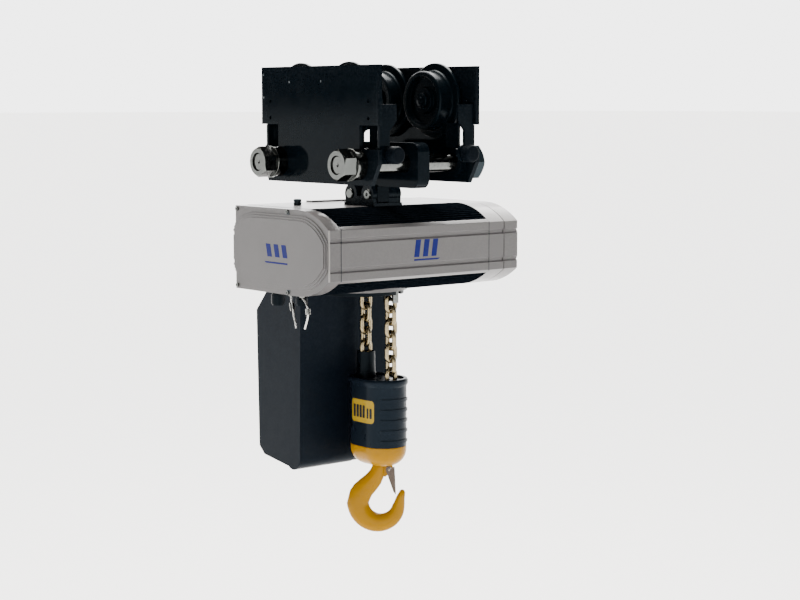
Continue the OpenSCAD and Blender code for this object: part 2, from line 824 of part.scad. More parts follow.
// oblong with round ends at Y = +-span, as a solid from z0 to z1
module oblong(r, z0, z1) {
    translate([hook_x, hook_y, z0]) {
        for (s = [-1, 1]) translate([0, s * block_span, 0]) cylinder(r = r, h = z1 - z0, $fn = 96);
        translate([-r, -block_span, 0]) cube([2 * r, 2 * block_span, z1 - z0]);
    }
}

// oblong that narrows from r1 at z0 to r2 at z1
module oblong_taper(r1, r2, z0, z1) {
    translate([hook_x, hook_y, z0]) {
        for (s = [-1, 1]) translate([0, s * block_span, 0])
            cylinder(r1 = r1, r2 = r2, h = z1 - z0, $fn = 96);
        along_y(-block_span, 2 * block_span)
            polygon([[-r1, 0], [r1, 0], [r2, z1 - z0], [-r2, z1 - z0]]);
    }
}

rib_z = [for (i = [0 : 4]) -668 - 26 * i];

module block_solid() {
    difference() {
        union() {
            oblong(block_r - 2, block_bottom_z, block_top_z - 16);
            oblong_taper(block_r - 2, block_r + 2, block_top_z - 20, block_top_z - 12);
            oblong(block_r + 2, block_top_z - 12, block_top_z - 5);
            oblong_taper(block_r + 2, block_r - 1, block_top_z - 5, block_top_z);
            intersection() {
                for (z = rib_z) oblong(block_r + 0.6, z - 4, z + 4);
                for (s = [-1, 1]) translate([hook_x - 60, hook_y + s * 90 - 28, -800]) cube([120, 56, 200]);
            }
        }
        oblong(block_r - 8, block_top_z - 6, block_top_z + 1);
        oblong(block_r - 10, block_bottom_z - 1, block_top_z - 14);
        for (s = [-1, 1])
            translate([hook_x, hook_y + s * pitch_r, block_top_z - 20]) cylinder(r = 21.5, h = 30);
        translate([hook_x, hook_y + pitch_r, block_top_z - 6]) cylinder(r = 26.4, h = 10);
        rod_x(hook_x - 70, hook_y, sheave_z, 12, 140);
    }
}

module block_half(x_side) {
    color([0.22, 0.25, 0.28]) difference() {
        block_solid();
        translate([hook_x - (x_side < 0 ? 0 : 200), hook_y - 150, -900]) cube([200, 300, 400]);
    }
}

module block_half_left() { block_half(-1); }
module block_half_right() { block_half(1); }

// bowl profile of the lower cup: radius against height, round towards the bottom
cup_profile = [for (i = [0 : 8]) let (a = i * 10)
    [14 + (block_r - 2 - 14) * cos(a), block_bottom_z - 10 - (block_bottom_z - 10 - cup_bottom_z) * sin(a) / sin(80)]];

module cup_solid() {
    flat = concat([[0, block_bottom_z], [block_r - 2, block_bottom_z]], cup_profile, [[0, cup_bottom_z]]);
    translate([hook_x, hook_y, 0]) {
        for (s = [-1, 1]) translate([0, s * block_span, 0]) rotate_extrude($fn = 96) polygon(flat);
        along_y(-block_span, 2 * block_span)
            polygon(concat(flat, [for (i = [len(flat) - 2 : -1 : 1]) [-flat[i][0], flat[i][1]]]));
    }
}

module block_cup() {
    color([0.95, 0.70, 0.08]) difference() {
        union() {
            oblong(block_r - 10.2, block_bottom_z, block_bottom_z + 8);
            cup_solid();
        }
        oblong(block_r - 22, block_bottom_z - 8, block_bottom_z + 20);
        translate([hook_x, hook_y, cup_bottom_z + 10]) cylinder(r = 30, h = 90);
        translate([hook_x, hook_y, cup_bottom_z - 5]) cylinder(r = shank_r + running_gap, h = 90);
    }
}

module chain_sleeve() {
    base_z = block_top_z - 6;
    color([0.05, 0.05, 0.06]) translate([hook_x, hook_y + pitch_r, 0]) difference() {
        union() {
            translate([0, 0, base_z]) cylinder(r1 = 26, r2 = 25, h = 14);
            translate([0, 0, base_z + 14]) cylinder(r1 = 24, r2 = 23, h = 52);
        }
        translate([0, 0, base_z - 2]) cylinder(r = 20, h = 80);
        translate([-40, -4, base_z + 26]) cube([25, 8, 8]);
    }
}

module sheave() {
    color([0.45, 0.45, 0.46]) translate([hook_x, hook_y, sheave_z]) rotate([0, 90, 0])
        rotate_extrude() polygon([[12 + running_gap, -24], [18, -24], [18, -20], [54, -26], [54, -21.5],
            [pocket_r, -19], [pocket_r, -7], [slot_r, -7], [slot_r, 7], [pocket_r, 7], [pocket_r, 19],
            [54, 21.5], [54, 26], [18, 20], [18, 24], [12 + running_gap, 24]]);
}

module sheave_axle() {
    color([0.66, 0.66, 0.65]) rod_x(hook_x - block_r - 0.5, hook_y, sheave_z, 12, 2 * block_r + 1);
}

module thrust_bearing() {
    color([0.66, 0.66, 0.65]) translate([hook_x, hook_y, cup_bottom_z + 10]) difference() {
        cylinder(r = 27, h = 14);
        translate([0, 0, -1]) cylinder(r = shank_r + 0.5, h = 16);
    }
}

module hook_nut() {
    color([0.66, 0.66, 0.65]) translate([hook_x, hook_y, cup_bottom_z + 24.3]) difference() {
        cylinder(r = 26, h = 18, $fn = 8);
        translate([0, 0, -1]) cylinder(r = shank_r, h = 20);
    }
}

// Each station of the hook joins an outer and an inner point: [outer x, outer z, inner x, inner z,
// half thickness], in the plane of the hook
neck_stations = [[-15, -838.4, 17, -838.4, 16], [-17, -846, 16, -848, 17], [-22, -855, 15, -861, 18],
    [-31, -865, 13, -873, 18], [-46, -877, 7, -889, 18], [-61, -890, -5, -906, 18],
    [-72, -906, -16, -919, 18]];
function bowl_station(t) =
    let (a = 182 + 163 * t, r_out = 86.5 - 24.5 * t + 4 * sin(180 * t))
    [bowl_h + r_out * cos(a), bowl_z + r_out * sin(a), bowl_h + bowl_r * cos(a),
        bowl_z + bowl_r * sin(a), 19 - 6 * t * t];
tip_stations = [[66.5, -940, 38.5, -938, 12.5], [66.5, -928, 42.5, -928, 12], [67.5, -918, 47, -919, 11],
    [67.5, -911.5, 51.5, -911.5, 9], [65, -906.5, 55, -906.5, 6.5], [62, -904.6, 58, -904.6, 3]];
hook_stations = concat(neck_stations, [for (i = [0 : 20]) bowl_station(i / 20)], tip_stations);

function hook_ring(s) =
    let (m = [(s[0] + s[2]) / 2, (s[1] + s[3]) / 2], e = [(s[2] - s[0]) / 2, (s[3] - s[1]) / 2])
    [for (j = [0 : 19]) let (u = -360 * j / 20, c = cos(u), k = s[4] * sin(u) * (1 + 0.14 * c))
        [m[0] + e[0] * c, k, m[1] + e[1] * c]];

// turns the hook's own plane from X-Z to its rest direction
module hook_frame() {
    translate([hook_x, hook_y, 0]) rotate([0, 0, hook_turn]) children();
}

module hook() {
    color([0.95, 0.70, 0.08]) {
        hook_frame() difference() {
            union() {
                loft([for (s = hook_stations) hook_ring(s)]);
                along_y(-7.5, 15) polygon([[4, -839.2], [35, -839.2], [37, -852], [30, -861],
                    [17, -871], [4, -867]]);
            }
            translate([latch_h, -20, latch_z]) rotate([-90, 0, 0]) cylinder(r = 3, h = 40);
        }
        translate([hook_x, hook_y, cup_bottom_z - 6]) cylinder(r = shank_r, h = 49);
    }
}

module latch_side() {
    translate([latch_h, latch_z]) circle(8.5);
    polygon([[latch_h - 8, latch_z - 3], [latch_h + 13, latch_z + 4], [latch_h + 17, latch_z - 62],
        [latch_h + 11, latch_z - 58]]);
}

module latch() {
    color([0.62, 0.60, 0.52]) hook_frame() difference() {
        union() {
            along_y(-10, 2) latch_side();
            along_y(8, 2) latch_side();
            along_y(-10, 20) polygon([[latch_h + 11.5, latch_z + 3], [latch_h + 14, latch_z + 4],
                [latch_h + 17, latch_z - 63], [latch_h + 14.5, latch_z - 63]]);
        }
        translate([latch_h, -20, latch_z]) rotate([-90, 0, 0]) cylinder(r = 3 + running_gap, h = 40);
    }
}

module latch_pin() {
    color([0.62, 0.60, 0.52]) hook_frame() translate([latch_h, -13, latch_z]) rotate([-90, 0, 0])
        cylinder(r = 3, h = 26);
}

side_plate_left();
side_plate_right();
cross_bars();
bar_nuts_left();
bar_spacers();
bar_nuts_right();
hanger_plate();
wheel_front_left();
wheel_front_right();
wheel_rear_left();
wheel_rear_right();
bearing_front_left();
bearing_front_right();
bearing_rear_left();
bearing_rear_right();
wheel_axles();
axle_circlips();
bumper_brackets();
bumpers();
suspension_lug();
suspension_pins();
end_cover_left();
end_cover_right();
end_frame_right();
front_profile();
rear_housing();
ribbed_shell_top();
ribbed_shell_bottom();
cover_screws();
top_plug();
chain_guide();
guide_plate();
dead_end_anchor();
cable_sockets();
wire_glands();
wire_crimps();
relief_wire_front();
relief_wire_rear();
motor_stator();
motor_rotor();
brake();
intermediate_gear();
load_wheel();
control_unit();
chain_bucket();
chain_load_fall();
chain_dead_fall();
chain_slack();
block_half_left();
block_half_right();
block_cup();
chain_sleeve();
sheave();
sheave_axle();
chain_loop();
thrust_bearing();
hook_nut();
hook();
latch();
latch_pin();
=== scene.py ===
"""Looks of the electric chain hoist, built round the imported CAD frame. Lengths in mm unless they say metres."""

import json
import math

import bmesh
import bpy
from mathutils import Matrix, Vector

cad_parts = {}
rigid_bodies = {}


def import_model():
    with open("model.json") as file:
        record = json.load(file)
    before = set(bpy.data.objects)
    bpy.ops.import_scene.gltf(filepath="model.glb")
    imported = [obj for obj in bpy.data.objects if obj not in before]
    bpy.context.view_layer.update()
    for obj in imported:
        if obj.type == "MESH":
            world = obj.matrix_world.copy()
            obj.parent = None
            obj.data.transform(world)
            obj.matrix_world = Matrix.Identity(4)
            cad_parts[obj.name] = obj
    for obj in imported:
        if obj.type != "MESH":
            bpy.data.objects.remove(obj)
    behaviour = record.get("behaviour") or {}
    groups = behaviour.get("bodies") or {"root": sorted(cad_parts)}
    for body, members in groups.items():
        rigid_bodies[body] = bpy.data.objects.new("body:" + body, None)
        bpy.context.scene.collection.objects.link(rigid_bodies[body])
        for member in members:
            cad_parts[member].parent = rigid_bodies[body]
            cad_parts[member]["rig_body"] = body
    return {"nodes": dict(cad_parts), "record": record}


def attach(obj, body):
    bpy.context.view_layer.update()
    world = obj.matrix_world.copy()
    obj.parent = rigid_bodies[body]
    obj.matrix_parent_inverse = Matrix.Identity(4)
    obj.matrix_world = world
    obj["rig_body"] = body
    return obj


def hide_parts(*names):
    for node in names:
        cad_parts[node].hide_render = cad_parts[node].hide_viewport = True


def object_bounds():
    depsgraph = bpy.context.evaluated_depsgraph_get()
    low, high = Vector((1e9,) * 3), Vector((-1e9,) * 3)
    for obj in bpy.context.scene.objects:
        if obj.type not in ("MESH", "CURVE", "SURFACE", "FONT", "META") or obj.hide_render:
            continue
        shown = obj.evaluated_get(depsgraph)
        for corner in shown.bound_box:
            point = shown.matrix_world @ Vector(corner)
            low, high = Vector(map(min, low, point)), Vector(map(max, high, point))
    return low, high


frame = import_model()
cad_low, cad_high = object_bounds()

ROOT = "trolley_and_hoist"
BLOCK = "hook_block"
HOOK = "hook"
LATCH = "latch"
MM = 0.001

# camera, fitted to the photograph: metres and degrees
AIM_OFFSET = (-0.0236, -0.0881, 0.0078)
CAMERA_HEADING = 39.29
CAMERA_PITCH = 6.29
CAMERA_DISTANCE = 4.40
CAMERA_LENS = 80.24
SENSOR_WIDTH = 36.0
FAR_CLIP = 1000.0

# world: how bright the backdrop, the ceiling and the wall that the camera sees are
BACKDROP_DIRECTION = (0.63, 0.77, 0.0)
DARK_ROOM = 0.03
BACKDROP_STRENGTH = 4.5
CEILING_STRENGTH = 1.2
SEEN_STRENGTH = 4.4

FLOOR_HALF = 250.0
FLOOR_DROP = 0.35

BLUISH_GLOSS = (0.66, 0.86, 1.0, 1)     # specular tint of the near-black paints
DUST_COLOUR = (0.42, 0.40, 0.37, 1)
BUMP_DISTANCE = 0.0006
PAINT_WEAR = (0.17, 0.165, 0.16)

WIRE_DIAMETER = 4.6 * MM
WELD_DISTANCE = 0.00002
FLAT_ANGLE = 0.4                        # faces within this many degrees are joined before bevelling
MARK_DEPTH = 0.35                       # thickness of the emblems, mm
COVER_CLEARANCE = 0.4 * MM              # left cover's rounded edges stay this far inside the CAD box
SHEAVE_AXLE_REACH = (-38.0 * MM, 78.0 * MM)


# ---------------------------------------------------------------- camera, light and floor

def make_camera():
    """Long lens, looking along the body's front left corner from just below the trolley."""
    middle = (Vector(cad_low) + Vector(cad_high)) / 2
    aim = middle + Vector(AIM_OFFSET)
    heading, pitch = math.radians(CAMERA_HEADING), math.radians(CAMERA_PITCH)
    look = Vector((math.sin(heading) * math.cos(pitch), math.cos(heading) * math.cos(pitch), -math.sin(pitch)))
    camera = bpy.data.objects.new("camera", bpy.data.cameras.new("camera"))
    camera.data.sensor_width = SENSOR_WIDTH
    camera.data.lens = CAMERA_LENS
    camera.data.clip_end = FAR_CLIP
    camera.location = aim - look * CAMERA_DISTANCE
    camera.rotation_euler = look.to_track_quat("-Z", "Y").to_euler()
    bpy.context.scene.collection.objects.link(camera)
    bpy.context.scene.camera = camera


def area_light(name, place, aim, size, power, tone=(1, 1, 1)):
    data = bpy.data.lights.new(name, "AREA")
    data.shape = "RECTANGLE"
    data.size, data.size_y = size
    data.energy = power
    data.color = tone
    light = bpy.data.objects.new(name, data)
    light.location = place
    light.rotation_euler = (Vector(aim) - Vector(place)).to_track_quat("-Z", "Y").to_euler()
    light.visible_camera = False
    bpy.context.scene.collection.objects.link(light)


def sun_light(name, towards, strength, angle, tone=(1, 1, 1)):
    data = bpy.data.lights.new(name, "SUN")
    data.energy = strength
    data.angle = math.radians(angle)
    data.color = tone
    light = bpy.data.objects.new(name, data)
    light.rotation_euler = Vector(towards).to_track_quat("-Z", "Y").to_euler()
    bpy.context.scene.collection.objects.link(light)


def ramp_node(tree, source, from_min, from_max, to_min, to_max):
    ramp = tree.nodes.new("ShaderNodeMapRange")
    ramp.interpolation_type = "SMOOTHSTEP"
    for socket, value in (("From Min", from_min), ("From Max", from_max), ("To Min", to_min), ("To Max", to_max)):
        ramp.inputs[socket].default_value = value
    tree.links.new(source, ramp.inputs["Value"])
    return ramp.outputs["Result"]


def make_world():
    """White backdrop all round; the hoist itself is lit and mirrored by a dark room, bright behind and above."""
    world = bpy.data.worlds.new("studio")
    bpy.context.scene.world = world
    world.use_nodes = True
    tree = world.node_tree
    background = tree.nodes["Background"]
    coords = tree.nodes.new("ShaderNodeTexCoord")
    facing = tree.nodes.new("ShaderNodeVectorMath")
    facing.operation = "DOT_PRODUCT"
    facing.inputs[1].default_value = BACKDROP_DIRECTION
    split = tree.nodes.new("ShaderNodeSeparateXYZ")
    brightest = tree.nodes.new("ShaderNodeMath")
    brightest.operation = "MAXIMUM"
    tree.links.new(coords.outputs["Generated"], facing.inputs[0])
    tree.links.new(coords.outputs["Generated"], split.inputs[0])
    backdrop = ramp_node(tree, facing.outputs["Value"], 0.60, 0.88, DARK_ROOM, BACKDROP_STRENGTH)
    overhead = ramp_node(tree, split.outputs["Z"], 0.60, 0.98, 0.0, CEILING_STRENGTH)
    tree.links.new(backdrop, brightest.inputs[0])
    tree.links.new(overhead, brightest.inputs[1])
    seen = tree.nodes.new("ShaderNodeMix")
    seen.inputs["B"].default_value = SEEN_STRENGTH
    tree.links.new(tree.nodes.new("ShaderNodeLightPath").outputs["Is Camera Ray"], seen.inputs["Factor"])
    tree.links.new(brightest.outputs["Value"], seen.inputs["A"])
    tree.links.new(seen.outputs["Result"], background.inputs["Strength"])
    background.inputs["Color"].default_value = (1, 1, 1, 1)


def make_floor():
    mesh = bpy.data.meshes.new("floor")
    half = FLOOR_HALF
    z = cad_low[2] - FLOOR_DROP
    mesh.from_pydata([(-half, -half, z), (half, -half, z), (half, half, z), (-half, half, z)], [], [(0, 1, 2, 3)])
    floor = bpy.data.objects.new("floor", mesh)
    bpy.context.scene.collection.objects.link(floor)
    floor.data.materials.append(surface("floor_pale", (0.93, 0.93, 0.93), 0.85, tint=0.01, grain=0, specular=0.0))


# ---------------------------------------------------------------- materials

def add(tree, kind, **values):
    """New shader node with its sockets set by name."""
    node = tree.nodes.new(kind)
    for key, value in values.items():
        node.inputs[key.replace("_", " ").title()].default_value = value
    return node


def remap(tree, source, from_min, from_max, to_min, to_max):
    """Map Range node fed by a socket; returns its result socket."""
    node = tree.nodes.new("ShaderNodeMapRange")
    for socket, value in (("From Min", from_min), ("From Max", from_max), ("To Min", to_min), ("To Max", to_max)):
        node.inputs[socket].default_value = value
    tree.links.new(source, node.inputs["Value"])
    return node.outputs["Result"]


def times(tree, first, second):
    node = tree.nodes.new("ShaderNodeMath")
    node.operation = "MULTIPLY"
    tree.links.new(first, node.inputs[0])
    tree.links.new(second, node.inputs[1])
    return node.outputs["Value"]


def blend_colour(tree, amount, below, colour):
    """Colour socket 'below' covered by a plain colour where amount is 1."""
    node = tree.nodes.new("ShaderNodeMix")
    node.data_type = "RGBA"
    node.inputs["B"].default_value = colour
    tree.links.new(amount, node.inputs["Factor"])
    tree.links.new(below, node.inputs["A"])
    return node.outputs["Result"]


def surface(name, colour, rough, metallic=0.0, tint=0.06, blotch=9.0, grain=900.0, bump=0.15, spread=0.08,
            coat=0.0, coat_rough=0.1, coat_ior=1.3, wear=None, wear_amount=0.5, stretch=(1, 1, 1), dust=0.0,
            specular=0.5):
    """Painted, cast, plated or moulded surface: blotchy tint, uneven roughness, fine bump and worn edges."""
    material = bpy.data.materials.new(name)
    material.use_nodes = True
    tree = material.node_tree
    link = tree.links.new
    shader = tree.nodes["Principled BSDF"]
    shader.inputs["Metallic"].default_value = metallic
    shader.inputs["Coat Weight"].default_value = coat
    shader.inputs["Coat Roughness"].default_value = coat_rough
    shader.inputs["Coat IOR"].default_value = coat_ior
    shader.inputs["Specular IOR Level"].default_value = specular
    if max(colour) < 0.02:
        shader.inputs["Specular Tint"].default_value = BLUISH_GLOSS
    coords = tree.nodes.new("ShaderNodeTexCoord")
    mapping = tree.nodes.new("ShaderNodeMapping")
    mapping.inputs["Scale"].default_value = stretch
    link(coords.outputs["Object"], mapping.inputs["Vector"])

    patches = add(tree, "ShaderNodeTexNoise", scale=blotch, detail=5.0, roughness=0.6)
    link(coords.outputs["Object"], patches.inputs["Vector"])
    tones = tree.nodes.new("ShaderNodeMix")
    tones.data_type = "RGBA"
    tones.inputs["A"].default_value = (*[c * (1 - tint) for c in colour], 1)
    tones.inputs["B"].default_value = (*[min(1, c * (1 + tint)) for c in colour], 1)
    link(patches.outputs["Fac"], tones.inputs["Factor"])
    result = tones.outputs["Result"]

    fine = add(tree, "ShaderNodeTexNoise", scale=grain if grain else 60.0, detail=3.0, roughness=0.55)
    link(mapping.outputs["Vector"], fine.inputs["Vector"])
    smudge = add(tree, "ShaderNodeTexNoise", scale=blotch * 4, detail=6.0, roughness=0.65)
    link(mapping.outputs["Vector"], smudge.inputs["Vector"])
    roughness = remap(tree, smudge.outputs["Fac"], 0.3, 0.7, max(0.02, rough - spread), rough + spread)

    if wear:
        geometry = tree.nodes.new("ShaderNodeNewGeometry")
        edge = remap(tree, geometry.outputs["Pointiness"], 0.53, 0.62, 0.0, wear_amount)
        broken = add(tree, "ShaderNodeTexNoise", scale=160.0, detail=4.0, roughness=0.7)
        link(coords.outputs["Object"], broken.inputs["Vector"])
        cut = remap(tree, broken.outputs["Fac"], 0.42, 0.62, 0.0, 1.0)
        result = blend_colour(tree, times(tree, edge, cut), result, (*wear, 1))

    if dust:
        upward = tree.nodes.new("ShaderNodeNewGeometry")
        split = tree.nodes.new("ShaderNodeSeparateXYZ")
        link(upward.outputs["Normal"], split.inputs["Vector"])
        settle = remap(tree, split.outputs["Z"], 0.5, 1.0, 0.0, dust)
        result = blend_colour(tree, times(tree, settle, patches.outputs["Fac"]), result, DUST_COLOUR)

    link(result, shader.inputs["Base Color"])
    link(roughness, shader.inputs["Roughness"])
    if grain:
        relief = add(tree, "ShaderNodeBump", strength=bump, distance=BUMP_DISTANCE)
        link(fine.outputs["Fac"], relief.inputs["Height"])
        link(relief.outputs["Normal"], shader.inputs["Normal"])
    return material


def make_materials():
    return {
        "trolley_black": surface("trolley_black", (0.0010, 0.0023, 0.0036), 0.09, tint=0.12, grain=420, bump=0.015,
                                 spread=0.03, specular=0.03, wear=(0.03, 0.034, 0.04), wear_amount=0.3, dust=0.01),
        "zinc_steel": surface("zinc_steel", (0.090, 0.095, 0.091), 0.15, metallic=1.0, tint=0.22, blotch=26, grain=500,
                              bump=0.03, spread=0.05, wear=(0.45, 0.44, 0.41)),
        "dark_nut": surface("dark_nut", (0.005, 0.009, 0.012), 0.34, metallic=0.2, tint=0.12, blotch=24, grain=500,
                            bump=0.06, specular=0.15, wear=(0.32, 0.34, 0.34)),
        "wheel_steel": surface("wheel_steel", (0.0010, 0.0024, 0.0036), 0.24, metallic=0.0, tint=0.15, blotch=18,
                               grain=180, bump=0.004, spread=0.03, specular=0.05, wear=(0.004, 0.006, 0.008),
                               wear_amount=0.3),
        "bearing_steel": surface("bearing_steel", (0.30, 0.30, 0.29), 0.20, metallic=1.0, tint=0.05, grain=900,
                                 bump=0.05),
        "bumper_rubber": surface("bumper_rubber", (0.0012, 0.0022, 0.0036), 0.55, tint=0.15, blotch=40, grain=1400,
                                 bump=0.12, specular=0.04, dust=0.01),
        "cast_black": surface("cast_black", (0.0012, 0.0026, 0.0042), 0.26, tint=0.15, blotch=20, grain=300, bump=0.20,
                              specular=0.07, wear=(0.03, 0.034, 0.038), wear_amount=0.3),
        "cover_grey": surface("cover_grey", (0.086, 0.082, 0.082), 0.42, tint=0.03, blotch=7, grain=1300, bump=0.05,
                              coat=0.5, coat_rough=0.14, specular=0.15, wear=PAINT_WEAR, wear_amount=0.3, dust=0.02),
        "profile_grey": surface("profile_grey", (0.088, 0.084, 0.084), 0.38, tint=0.03, blotch=6, grain=1100,
                                coat=0.5, coat_rough=0.14, bump=0.04, specular=0.15, wear=PAINT_WEAR,
                                wear_amount=0.25, stretch=(0.05, 1, 1)),
        "frame_grey": surface("frame_grey", (0.088, 0.084, 0.084), 0.38, tint=0.03, blotch=6, grain=1100, bump=0.04,
                              coat=0.5, coat_rough=0.14, specular=0.15),
        "rib_black": surface("rib_black", (0.0009, 0.0020, 0.0034), 0.40, tint=0.12, blotch=12, grain=900, bump=0.10,
                             specular=0.0, wear=(0.03, 0.034, 0.04), wear_amount=0.3),
        "black_screw": surface("black_screw", (0.004, 0.005, 0.006), 0.34, metallic=0.3, tint=0.1, grain=900,
                               bump=0.08, wear=(0.20, 0.20, 0.20)),
        "black_plastic": surface("black_plastic", (0.0012, 0.0020, 0.0030), 0.36, tint=0.12, blotch=30, grain=1500,
                                 bump=0.08, specular=0.07),
        "relief_wire": surface("relief_wire", (0.52, 0.52, 0.50), 0.26, metallic=1.0, tint=0.12, blotch=60,
                               grain=1600, bump=0.3, stretch=(1, 1, 0.4)),
        "machine_steel": surface("machine_steel", (0.30, 0.31, 0.32), 0.32, metallic=0.9, tint=0.08, blotch=20,
                                 grain=600, bump=0.12, wear=(0.6, 0.6, 0.6)),
        "control_green": surface("control_green", (0.04, 0.14, 0.08), 0.5, tint=0.1, grain=700, bump=0.2),
        "bucket_plastic": surface("bucket_plastic", (0.0016, 0.0030, 0.0058), 0.40, tint=0.07, blotch=8, grain=1700,
                                  bump=0.08, spread=0.05, specular=0.05, wear=(0.02, 0.025, 0.03), wear_amount=0.3),
        "chain_zinc": surface("chain_zinc", (0.24, 0.195, 0.115), 0.26, metallic=1.0, tint=0.25, blotch=55, grain=800,
                              bump=0.10, spread=0.08, wear=(0.42, 0.37, 0.26)),
        "block_grey": surface("block_grey", (0.0034, 0.0056, 0.0092), 0.32, tint=0.10, blotch=14, grain=800, bump=0.12,
                              specular=0.08, wear=(0.02, 0.024, 0.028), wear_amount=0.35),
        "hook_yellow": surface("hook_yellow", (0.27, 0.128, 0.0), 0.30, tint=0.05, coat=0.22, coat_rough=0.05,
                               blotch=16, grain=350, bump=0.06, spread=0.05, specular=0.04,
                               wear=(0.17, 0.065, 0.0002), wear_amount=0.3),
        "latch_steel": surface("latch_steel", (0.055, 0.042, 0.034), 0.30, metallic=0.9, tint=0.15, blotch=60,
                               grain=700, bump=0.10, wear=(0.5, 0.46, 0.4)),
        # light grey that paints the highlight along the left cover's front corner
        "painted_highlight_grey": surface("painted_highlight_grey", (0.17, 0.16, 0.15), 0.35, tint=0.04, blotch=12, grain=1100, bump=0.04,
                             coat=0.6, coat_rough=0.2, wear=(0.3, 0.29, 0.28), wear_amount=0.3),
        "emblem_blue": surface("emblem_blue", (0.0012, 0.004, 0.085), 0.35, tint=0.05, blotch=20, grain=1200,
                               bump=0.03, specular=0.1, wear=(0.01, 0.02, 0.14), wear_amount=0.2),
        "label_yellow": surface("label_yellow", (0.30, 0.185, 0.0), 0.45, tint=0.05, blotch=25, grain=1500,
                                bump=0.05, specular=0.15, wear=(0.25, 0.18, 0.05), wear_amount=0.4),
        # near-black: printed ink on the load label, and also the painted shade in the body's seams
        "ink_and_painted_seam_shade": surface("ink_and_painted_seam_shade", (0.003, 0.005, 0.008), 0.5, tint=0.1, blotch=40, grain=1500, bump=0.05,
                             specular=0.15, wear=(0.05, 0.05, 0.05), wear_amount=0.3),
    }


# ---------------------------------------------------------------- pieces

def place_piece(piece, body, slot, material=None, replaces=()):
    bpy.context.scene.collection.objects.link(piece)
    piece.data.materials.clear()
    piece.data.materials.append(material or materials[slot])
    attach(piece, body)
    if replaces:
        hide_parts(*replaces)
    return piece


def shade(mesh, angle=35):
    for polygon in mesh.polygons:
        polygon.use_smooth = True
    mesh.set_sharp_from_angle(angle=math.radians(angle))


def folded(work):
    """True where the triangles of a joined face turn away from the face."""
    for corners in work.calc_loop_triangles():
        a, b, c = (corner.vert.co for corner in corners)
        across = (b - a).cross(c - a)
        if across.length > 1e-9 and across.normalized().dot(corners[0].face.normal) < 0.9:
            return True
    return False


def refine(node, width, segments=2, angle=32):
    """Bevelled copy of a CAD node: welded, flat faces joined, its sharp edges rounded by width (mm)."""
    source = frame["nodes"][node]
    work = bmesh.new()
    work.from_mesh(source.data)
    bmesh.ops.remove_doubles(work, verts=work.verts, dist=WELD_DISTANCE)
    plain = work.copy()
    bmesh.ops.dissolve_limit(work, angle_limit=math.radians(FLAT_ANGLE), verts=work.verts, edges=work.edges)
    work.normal_update()
    if folded(work):
        work, plain = plain, work
    plain.free()
    mesh = bpy.data.meshes.new(node + "_mesh")
    work.to_mesh(mesh)
    work.free()
    if node == "end_cover_left":
        for corner in mesh.vertices:
            corner.co.x = max(corner.co.x, cad_low[0] + COVER_CLEARANCE)
    if node == "sheave_axle":
        for corner in mesh.vertices:
            corner.co.x = min(max(corner.co.x, SHEAVE_AXLE_REACH[0]), SHEAVE_AXLE_REACH[1])
    shade(mesh, angle)
    piece = bpy.data.objects.new(node + "_body", mesh)
    place_piece(piece, source["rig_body"], node_slot[node], replaces=(node,))
    bevel = piece.modifiers.new("round_edges", "BEVEL")
    bevel.width = width * MM
    bevel.segments = segments
    bevel.limit_method = "ANGLE"
    bevel.angle_limit = math.radians(angle)
    bevel.miter_outer = "MITER_ARC"
    even = piece.modifiers.new("even_faces", "WEIGHTED_NORMAL")
    even.keep_sharp = True
    even.weight = 100
    return piece


def prism(name, outline, plane, start, depth, body, slot, material=None, bevel=0.0):
    """Flat outline in mm given a thickness; plane names the axis it is raised along."""
    turn = {"x": lambda a, b, c: (c, a, b), "y": lambda a, b, c: (a, c, b), "z": lambda a, b, c: (a, b, c)}[plane]
    count = len(outline)
    points = [turn(a * MM, b * MM, (start + d) * MM) for d in (0, depth) for a, b in outline]
    faces = [tuple(range(count)), tuple(range(2 * count - 1, count - 1, -1))]
    faces += [(i, count + i, count + (i + 1) % count, (i + 1) % count) for i in range(count)]
    return solid(name, points, faces, body, slot, material, bevel)


def solid(name, points, faces, body, slot, material=None, bevel=0.0, angle=35):
    mesh = bpy.data.meshes.new(name + "_mesh")
    mesh.from_pydata(points, [], faces)
    work = bmesh.new()
    work.from_mesh(mesh)
    bmesh.ops.recalc_face_normals(work, faces=work.faces)
    work.to_mesh(mesh)
    work.free()
    shade(mesh, angle)
    piece = bpy.data.objects.new(name, mesh)
    place_piece(piece, body, slot, material=material)
    if bevel:
        rounding = piece.modifiers.new("round_edges", "BEVEL")
        rounding.width = bevel * MM
        rounding.segments = 2
        rounding.limit_method = "ANGLE"
        rounding.angle_limit = math.radians(angle)
    return piece


def turned(name, profile, centre, axis, body, slot, material=None, count=48, angle=35):
    """Ring or disc turned from (radius, distance along axis) points in mm, closed on itself."""
    frame_turn = Vector(axis).to_track_quat("Z", "Y").to_matrix()
    points, faces = [], []
    size = len(profile)
    for i in range(count):
        a = 2 * math.pi * i / count
        for radius, along in profile:
            spot = Vector(centre) + frame_turn @ Vector((radius * math.cos(a), radius * math.sin(a), along))
            points.append(tuple(spot * MM))
    for i in range(count):
        for j in range(size):
            k = (i + 1) % count
            faces.append((i * size + j, i * size + (j + 1) % size, k * size + (j + 1) % size, k * size + j))
    return solid(name, points, faces, body, slot, material, angle=angle)


def rounded(x0, y0, x1, y1, radius, steps=5):
    """Outline of a rectangle with round corners."""
    corners = ((x1 - radius, y1 - radius, 0), (x0 + radius, y1 - radius, 90), (x0 + radius, y0 + radius, 180),
               (x1 - radius, y0 + radius, 270))
    angles = [(cx, cy, math.radians(a + 90 * i / steps)) for cx, cy, a in corners for i in range(steps + 1)]
    return [(cx + radius * math.cos(a), cy + radius * math.sin(a)) for cx, cy, a in angles]


